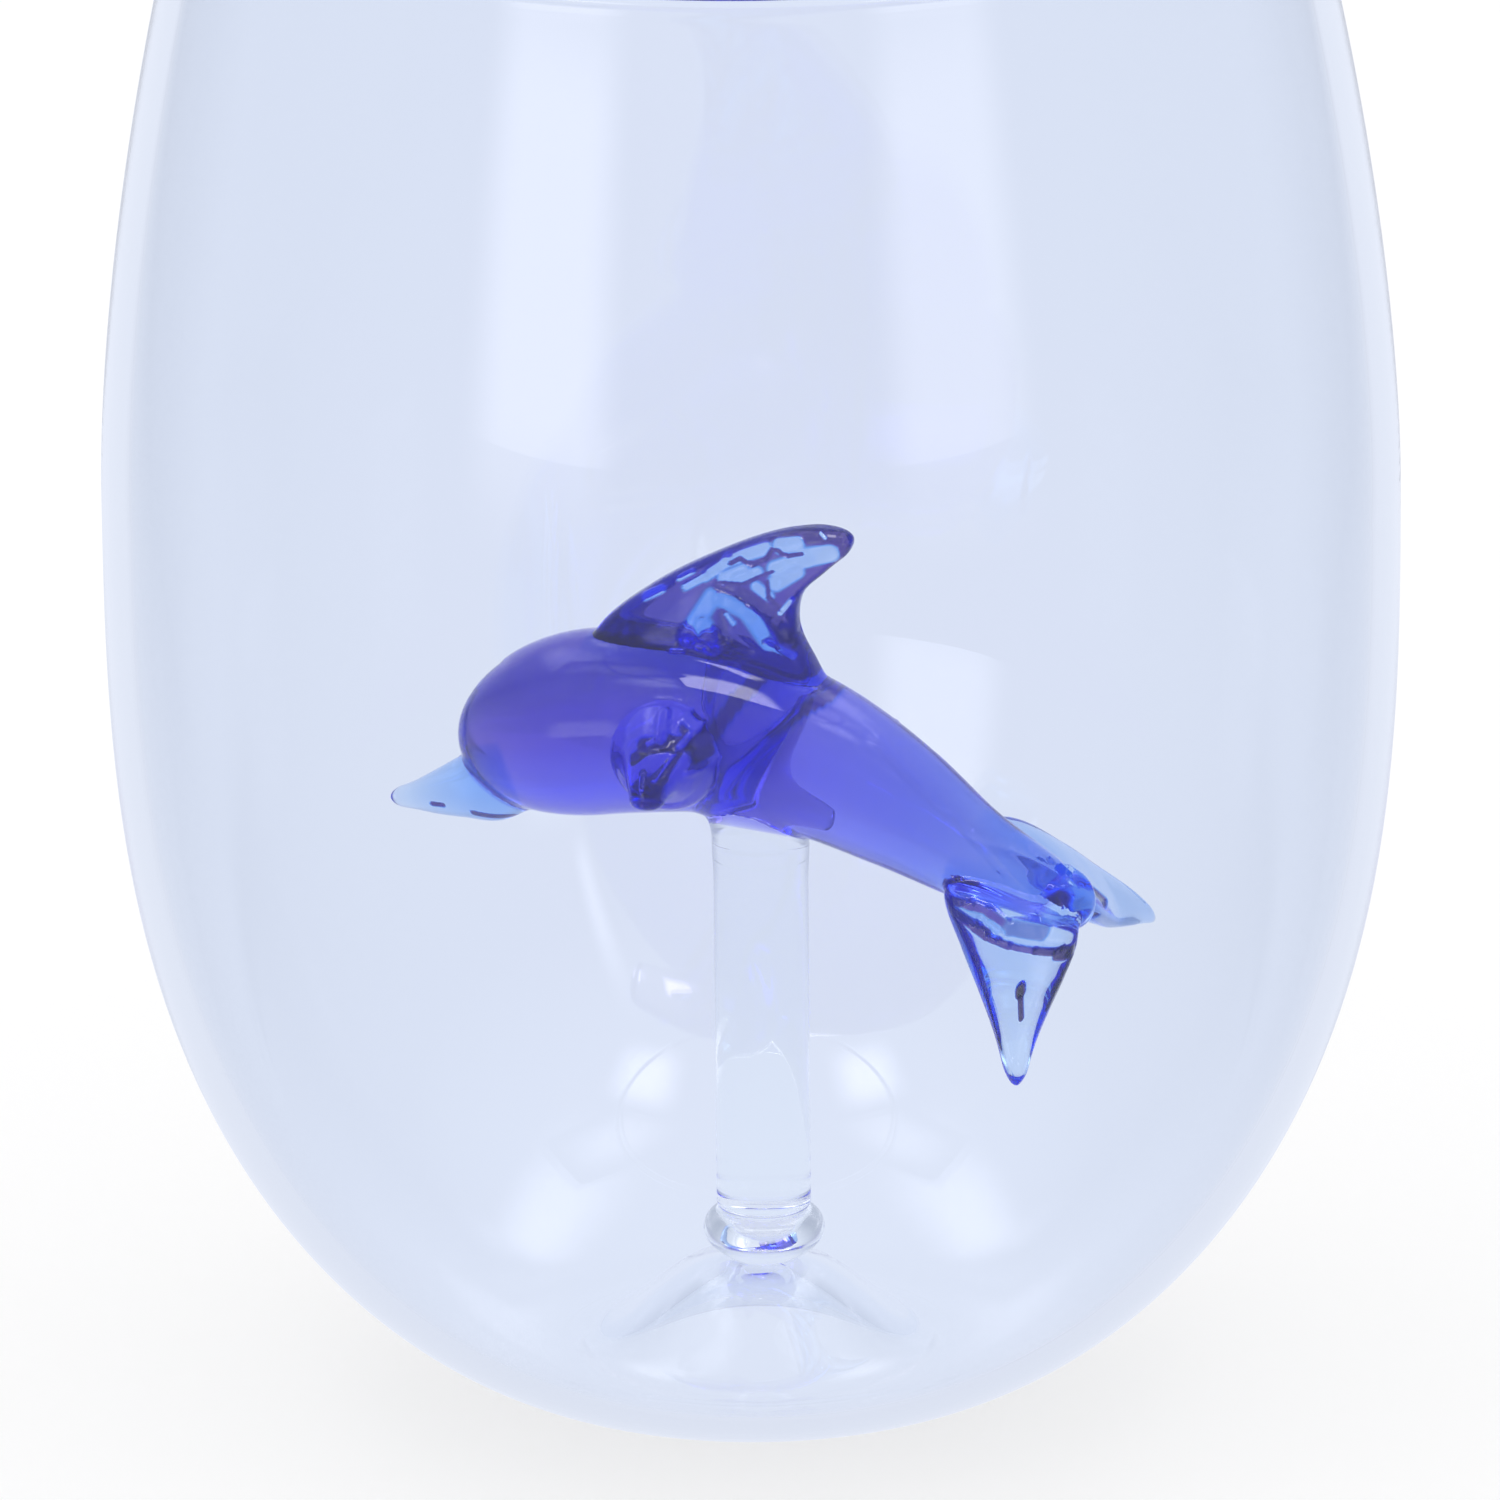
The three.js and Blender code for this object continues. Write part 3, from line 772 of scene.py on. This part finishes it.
def drawn_gather(rows, reference, roundness, rings=120, steps=120):
    """Circles square to a curve; each row is a place on it and the radius there. The far end is
    rounded off over the roundness."""
    rows = np.array(rows)
    places = endwise(rings)
    path = smooth_through(rows[:, :3], places)
    fine = smooth_through(rows[:, :3], np.linspace(0, 1, 400))
    length = np.linalg.norm(np.diff(fine, axis=0), axis=1).sum()
    tangent = direction(rows[:, :3], places)
    across = unit(reference - tangent * (tangent @ reference)[:, None])
    up = np.cross(across, tangent)
    half = smooth_through(rows[:, 3], places) * round_end(length * (1 - places), roundness)[:, None]
    return ovals(path, across * half, up * half, steps)


def pectoral(shares, setback, radius, side):
    rows = [
        (
            nose_x + setback + pectoral_reach * along,
            side * (body_radius / 2 + pectoral_reach * out),
            body_arch * pectoral_seat - pectoral_reach * down,
            radius * r,
        )
        for along, out, down, r in shares
    ]
    return in_dolphin_frame(drawn_gather(rows, np.array([1.0, 0, 0]), pectoral_drop_radius))


left_fin = Gather(
    "left_breast_fin",
    pectoral(left_pectoral_shares, left_pectoral_setback, left_pectoral_radius, -1),
)
right_fin = Gather(
    "right_breast_fin",
    pectoral(right_pectoral_shares, right_pectoral_setback, right_pectoral_radius, 1),
)
press(left_fin, left_fin_marks_and_shade)
left_fin.show(cobalt, "cobalt_glass", "left_pectoral_fin")
right_fin.show(cobalt, "cobalt_glass", "right_pectoral_fin")


# Beak: a small pale blue gather, fused low on the head and pulled forward to a blunt point.
beak_length = 7.9
beak_root_radius = 3.2
beak_root_height = 5.6
beak_setback = 2.5
beak_tip_roundness = 1.0
pale_absorbs = (0.21, 0.115, 0.004)
# Beak marks: a dark dent, and painted shade along the beak's root.
beak_marks_and_shade = [
    ((-24.8, 3.9), (-23.9, 3.95), 0.2, -0.1, 0.8),
    ((-21.4, 3.7), (-18.6, 3.4), 0.25, 0.0, 0.85),
]
beak_shares = [
    (-0.35, 0.14, 0.8),
    (0, 0.0, 0.93),
    (0.33, -0.1, 0.7),
    (0.55, -0.16, 0.53),
    (0.78, -0.21, 0.34),
    (1.03, -0.25, 0.18),
]
beak_rows = [
    (
        nose_x + beak_setback - beak_length * forward,
        0,
        beak_root_height + beak_length * up,
        beak_root_radius * r,
    )
    for forward, up, r in beak_shares
]


def pale_tint(pot):
    return stained_and_shaded(pot, WHITE)


pale = glass("pale_blue", WHITE, pale_absorbs, pale_tint)
beak = Gather(
    "pale_beak", in_dolphin_frame(drawn_gather(beak_rows, np.array([0, 1.0, 0]), beak_tip_roundness))
)
press(beak, beak_marks_and_shade)
beak.show(pale, "pale_blue_glass", "beak")


# Back fin: a pale blue gather, pressed flat with pliers, whose marks are left on it, and pulled
# back to a round tip.
dorsal_setback = 10.0
dorsal_chord = 19.0
pressed_swell = 0.65
dorsal_rise = 12.5
dorsal_thickness = 6.4
dorsal_tip_roundness = 2.3
dorsal_seat_share = 0.53
dorsal_seat = body_arch + body_radius * dorsal_seat_share
dorsal_lead_shares = [
    (-0.03, 0),
    (0.045, 0.265),
    (0.245, 0.525),
    (0.505, 0.755),
    (0.77, 0.925),
    (1.005, 0.99),
]
dorsal_trail_shares = [
    (1, -0.155),
    (0.91, 0.11),
    (0.842, 0.342),
    (0.858, 0.542),
    (0.953, 0.694),
    (1.095, 0.88),
]
dorsal_thickness_shares = [1.12, 0.95, 0.72, 0.55, 0.45, 0.4]
# Back fin marks: pliers dents and ridges, violet stains, and painted shade: the near-black crescent along
# the fin's root and dark lines round the lobes.
dorsal_marks_and_shade = [
    ((-9.0, 19.0), (4.0, 23.0), 7.0, 0.0, 0.5),
    ((-13.0, 17.0), (-12.0, 18.4), 0.35, 0.0, 0.7),
    ((-12.0, 18.4), (-8.2, 21.7), 0.35, 0.0, 0.6),
    ((-8.2, 21.7), (-3.3, 24.6), 0.35, 0.0, 0.65),
    ((-3.3, 24.6), (1.7, 26.7), 0.35, 0.0, 0.7),
    ((1.7, 26.7), (6.2, 27.5), 0.35, 0.0, 0.75),
    ((5.2, 23.8), (3.4, 21.9), 0.4, 0.0, 0.7),
    ((3.4, 21.9), (3.1, 19.4), 0.4, 0.0, 0.7),
    ((3.1, 19.4), (4.4, 16.5), 0.4, 0.0, 0.7),
    ((-2.5, 17.1), (3.6, 16.8), 0.8, 0.0, 0.62),
    ((2.1, 20.5), (3.3, 18.8), 0.6, 0.0, 0.7),
    ((3.3, 18.8), (4.5, 16.7), 0.6, 0.0, 0.7),
    ((6.6, 25.1), (3.8, 22.5), 0.5, 0.0, 0.6),
    ((4.2, 26.7), (6.6, 26.7), 0.5, 0.0, 0.8),
    ((6.7, 26.6), (6.9, 25.5), 0.35, 0.0, 0.75),
    ((-2.9, 21.8), (-4.7, 18.8), 0.7, 0.1, 0.22),
    ((-4.7, 18.5), (-2.9, 18.0), 0.4, 0.1, 0.22),
    ((-3.4, 19.7), (-2.6, 18.2), 0.7, 0.1, 0.22),
    ((-2.2, 21.7), (-0.1, 20.8), 0.6, 0.1, 0.22),
    ((-0.1, 20.7), (1.4, 18.7), 0.65, 0.1, 0.22),
    ((1.4, 18.6), (3.1, 17.6), 0.3, 0.1, 0.22),
    ((-2.1, 20.6), (-1.9, 18.8), 0.4, -0.1, 0.7),
    ((-1.7, 18.8), (-0.2, 17.9), 0.5, -0.1, 0.68),
    ((-1.8, 20.6), (-1.2, 20.0), 0.17, 0.1, 0.1),
    ((-2.5, 22.7), (-0.6, 22.3), 0.38, -0.1, 0.7),
    ((-0.6, 22.2), (1.4, 20.9), 0.5, -0.1, 0.72),
    ((1.4, 20.9), (2.8, 18.9), 0.5, -0.1, 0.7),
    ((2.1, 25.9), (3.4, 26.1), 0.6, 0.1, 0.1),
    ((-5.0, 22.3), (-3.5, 23.2), 0.28, 0.1, 0.08),
    ((-3.5, 23.2), (-1.9, 24.4), 0.4, 0.1, 0.08),
    ((-1.9, 24.5), (1.0, 25.6), 0.5, 0.1, 0.08),
    ((-5.6, 22.8), (-4.6, 23.4), 0.2, 0.1, 0.02),
    ((-8.2, 21.2), (-6.9, 21.9), 0.3, 0.1, 0.04),
    ((-2.1, 23.2), (-0.6, 23.9), 0.5, 0.1, 0.1),
    ((-1.0, 23.3), (0.5, 23.9), 0.4, 0.1, 0.1),
    ((4.1, 25.2), (5.8, 25.6), 0.75, 0.1, 0.06),
    ((1.8, 24.2), (4.1, 25.1), 0.65, 0.1, 0.08),
    ((1.8, 23.1), (3.3, 24.1), 0.65, 0.1, 0.1),
    ((0.4, 22.8), (1.3, 22.1), 0.42, 0.1, 0.1),
    ((-1.6, 24.3), (-1.0, 24.7), 0.16, -0.1, 0.75),
    ((-1.0, 24.7), (0.1, 24.4), 0.16, -0.1, 0.75),
    ((0.1, 24.4), (1.1, 24.9), 0.16, -0.1, 0.75),
    ((1.1, 24.9), (1.5, 25.6), 0.16, -0.1, 0.8),
    ((1.8, 25.6), (2.7, 25.2), 0.15, -0.1, 0.75),
    ((2.7, 25.2), (3.8, 25.5), 0.15, -0.1, 0.75),
    ((-2.3, 22.9), (-0.6, 22.9), 0.14, -0.1, 0.75),
    ((-0.6, 22.9), (0.5, 23.5), 0.14, -0.1, 0.7),
    ((0.5, 23.5), (1.6, 24.0), 0.13, -0.1, 0.65),
    ((1.2, 23.2), (1.3, 22.0), 0.15, -0.1, 0.75),
    ((1.3, 22.0), (2.1, 21.1), 0.2, -0.1, 0.75),
    ((5.1, 27.0), (5.5, 26.7), 0.12, 0.1, 0.0),
    ((2.9, 21.8), (2.1, 20.8), 0.2, 0.15, 0.0),
    ((-9.2, 19.5), (-7.2, 19.5), 0.25, 0.0, 0.8),
    ((-11.9, 17.4), (-8.7, 17.7), 0.95, 0.0, 0.97),
    ((-8.7, 17.4), (-6.0, 17.2), 0.75, 0.0, 0.95),
    ((-6.4, 16.8), (-3.0, 17.0), 0.45, 0.0, 0.85),
    ((-5.8, 17.7), (-4.9, 17.75), 0.2, 0.15, 0.0),
]


def pressed_fin(lead, trail, thicknesses, roundness, rings=180, steps=256):
    """Ovals between a leading and a trailing edge, rounded off at the tip: each is
    centre + half chord cos(angle) + half thickness |sin(angle)| ** pressed_swell, on either side."""
    places = endwise(rings)
    front, rear = smooth_through(lead, places), smooth_through(trail, places)
    fine = smooth_through(lead, np.linspace(0, 1, 400))
    length = np.linalg.norm(np.diff(fine, axis=0), axis=1).sum()
    rounding = round_end(length * (1 - places), roundness)[:, None]
    chord = (front - rear) * 0.5 * rounding
    rise = direction(lead, places) + direction(trail, places)
    through = unit(np.cross(chord, rise))
    depth = smooth_through(thicknesses, places) * 0.5 * rounding
    angle = np.linspace(0, 2 * np.pi, steps, endpoint=False)[None, :, None]
    swell = np.sign(np.sin(angle)) * np.abs(np.sin(angle)) ** pressed_swell
    middle = (front + rear)[:, None] / 2
    return middle + chord[:, None] * np.cos(angle) + (through * depth)[:, None] * swell


def dorsal_place(shares):
    return [
        (nose_x + dorsal_setback + dorsal_chord * x, 0, dorsal_seat + dorsal_rise * z)
        for x, z in shares
    ]


dorsal = Gather(
    "back_fin",
    in_dolphin_frame(
        pressed_fin(
            dorsal_place(dorsal_lead_shares),
            dorsal_place(dorsal_trail_shares),
            np.array(dorsal_thickness_shares) * dorsal_thickness,
            dorsal_tip_roundness,
        )
    ),
)
press(dorsal, dorsal_marks_and_shade)
dorsal.show(pale, "pale_blue_glass", "dorsal_fin")


# Tail: a pale blue bead behind the tail's end, nipped into folds with the tweezers, and a fluke
# pressed flat to either side of it.
bead_setback = 0.2
bead_length = 5.4
bead_width = 5.6
bead_height = 5.2
bead_folds = 5
bead_fold_share = 0.16
bead_absorbs = (0.06, 0.035, 0.002)
fluke_span = 17.0
fluke_chord = 9.9
fluke_droop = 7.7
fluke_thickness = 3.0
fluke_tip_roundness = 1.7
fluke_thickness_shares = [1, 1, 0.85, 0.7, 0.6, 0.55]


def bead_skin(rings=64, steps=80):
    """An egg along X, drawn in between its folds by a share that grows towards its rear."""
    places = endwise(rings)[:, None]
    angle = np.linspace(0, 2 * np.pi, steps, endpoint=False)
    half = np.sqrt(4 * places * (1 - places))
    reach = half * (1 - bead_fold_share * places * (1 - np.cos(bead_folds * angle)) / 2)
    x = tail_x + bead_setback + bead_length / 2 * (2 * places - 1) + 0 * angle
    y = bead_width / 2 * reach * np.cos(angle)
    z = bead_height / 2 * reach * np.sin(angle)
    return np.stack([x, y, z], axis=-1)


def fluke_skin(lead_shares, trail_shares, side):
    """Each row is a place along the tail, outwards and up, in shares of chord, span and droop."""
    scale = [fluke_chord, side * fluke_span, fluke_droop]
    edges = [
        np.array(shares) * scale + [tail_x, 0, 0] for shares in (lead_shares, trail_shares)
    ]
    depths = np.array(fluke_thickness_shares) * fluke_thickness
    return in_dolphin_frame(pressed_fin(*edges, depths, fluke_tip_roundness))


left_lead_shares = [
    (-0.8, 0.07, 0.4),
    (-0.735, 0.25, 0.16),
    (-0.525, 0.435, -0.16),
    (-0.31, 0.625, -0.43),
    (-0.1, 0.82, -0.7),
    (0.09, 1.01, -1.03),
]
left_trail_shares = [
    (0.19, 0.035, -0.12),
    (0.24, 0.21, -0.3),
    (0.24, 0.41, -0.455),
    (0.23, 0.6, -0.585),
    (0.21, 0.8, -0.79),
    (0.2, 1, -1.1),
]
right_lead_shares = [
    (-0.72, 0.07, 0.62),
    (-0.53, 0.235, 0.57),
    (-0.25, 0.41, 0.27),
    (-0.05, 0.605, -0.07),
    (0.12, 0.81, -0.42),
    (0.32, 1.01, -0.84),
]
right_trail_shares = [
    (0.17, 0.035, -0.08),
    (0.2, 0.22, -0.31),
    (0.18, 0.42, -0.52),
    (0.17, 0.61, -0.7),
    (0.22, 0.81, -0.83),
    (0.26, 1.02, -0.935),
]

# Tail marks: tweezer folds and slits with painted shade in them, and painted shade as dark lines along the
# flukes.
bead_marks_and_shade = [
    ((22.9, 0.6), (23.4, 0.9), 0.7, -0.2, 0.95),
    ((23.5, 1.2), (24.4, -1.4), 0.25, -0.3, 0.8),
    ((23.3, -0.2), (24.6, -0.3), 0.25, -0.3, 0.8),
]
left_fluke_marks_and_shade = [
    ((15.2, 1.7), (16.0, 0.7), 0.35, 0.0, 0.65),
    ((16.0, 0.7), (17.4, -0.5), 0.3, 0.0, 0.65),
    ((17.4, -0.5), (19.0, -1.9), 0.3, 0.0, 0.62),
    ((19.0, -1.9), (20.5, -3.6), 0.22, 0.0, 0.65),
    ((20.5, -3.6), (22.5, -6.2), 0.12, 0.0, 0.8),
    ((15.1, 2.0), (16.2, 2.3), 0.14, 0.0, 0.8),
    ((16.2, 2.3), (17.6, 2.1), 0.12, 0.0, 0.7),
    ((15.6, 1.3), (17.5, 1.0), 0.3, -0.1, 0.55),
    ((17.5, 1.0), (18.9, 0.6), 0.4, -0.1, 0.5),
    ((18.9, 0.6), (20.6, -0.3), 0.4, -0.1, 0.5),
    ((20.6, -0.2), (22.8, -0.7), 0.5, -0.1, 0.42),
    ((16.9, 0.6), (18.5, 0.3), 0.3, 0.1, 0.2),
    ((18.5, 0.3), (20.2, -0.5), 0.3, 0.1, 0.2),
    ((20.2, -0.7), (24.2, -1.6), 0.25, 0.1, 0.06),
    ((16.5, 0.5), (18.2, -0.1), 0.26, -0.1, 0.62),
    ((18.2, -0.1), (19.2, -0.5), 0.28, -0.1, 0.75),
    ((19.2, -0.6), (21.0, -1.1), 0.16, -0.15, 0.7),
    ((21.0, -1.1), (22.8, -1.5), 0.13, -0.15, 0.6),
    ((22.8, -1.5), (24.1, -1.8), 0.15, -0.15, 0.85),
    ((24.3, -1.9), (25.5, -2.3), 0.3, -0.1, 0.92),
    ((22.7, -3.1), (22.8, -3.3), 0.3, -0.2, 1.0),
    ((22.9, -3.5), (23.4, -4.5), 0.16, -0.2, 0.95),
    ((25.2, -2.5), (24.9, -3.6), 0.28, 0.0, 0.9),
    ((24.9, -3.6), (24.8, -4.4), 0.16, 0.0, 0.9),
]
right_fluke_marks_and_shade = [
    ((17.0, 3.0), (26.0, -6.0), 9.0, 0.0, 0.09),
    ((24.1, -0.5), (24.5, -2.2), 0.22, -0.2, 0.97),
]
bead_glass = glass("pale_blue_bead", WHITE, bead_absorbs, pale_tint)
bead = Gather("tail_bead", in_dolphin_frame(bead_skin()))
left_fluke = Gather("near_fluke", fluke_skin(left_lead_shares, left_trail_shares, -1))
right_fluke = Gather("far_fluke", fluke_skin(right_lead_shares, right_trail_shares, 1))
press(bead, bead_marks_and_shade)
press(left_fluke, left_fluke_marks_and_shade)
press(right_fluke, right_fluke_marks_and_shade)
bead.show(bead_glass, "pale_blue_glass", "tail_knuckle")
left_fluke.show(pale, "pale_blue_glass", "left_fluke")
right_fluke.show(pale, "pale_blue_glass", "right_fluke")


# Flame: where two gathers meet they melt together. Each skin is drawn a little towards the other,
# and what lies inside the other is no longer a surface.
welds = [
    (body, left_fin, 0.4),
    (body, right_fin, 0.8),
    (body, beak, 0.8),
    (body, dorsal, 0.5),
    (body, bead, 0.6),
    (body, left_fluke, 0.6),
    (body, right_fluke, 0.6),
    (bead, left_fluke, 0.6),
    (bead, right_fluke, 0.6),
    (left_fluke, right_fluke, 0.6),
    (body, saddle, 1.2),
    (saddle, rod, 0.3),
    (rod, pad, 0.3),
    (pad, tumbler, 0.5),
]


inside_depth = 1.0


def draw_together(one, other, melt):
    """Moves each skin outwards by (melt - distance to the other) ** 2 / (4 melt), which rounds the
    corner between them."""
    gaps = [other.distance(one.points), one.distance(other.points)]
    for skin, gap in zip((one, other), gaps):
        lift = np.clip(melt - np.abs(gap), 0, None) ** 2 / (4 * melt)
        skin.points = skin.points + skin.normals() * lift[:, None]


for one, other, melt in welds:
    draw_together(one, other, melt)
for gather in (body, left_fin, right_fin, beak, dorsal, bead, left_fluke, right_fluke):
    figure.objects.link(gather.object)
for one, other, _ in welds:
    one.clear = np.minimum(one.clear, other.distance(one.points, inside_depth))
    other.clear = np.minimum(other.clear, one.distance(other.points, inside_depth))
for gather in dict.fromkeys(piece for weld in welds for piece in weld[:2]):
    mesh = gather.object.data
    mesh.vertices.foreach_set("co", (gather.points * MM).ravel())
    mesh.attributes["clear"].data.foreach_set("value", gather.clear)
    mesh.update()
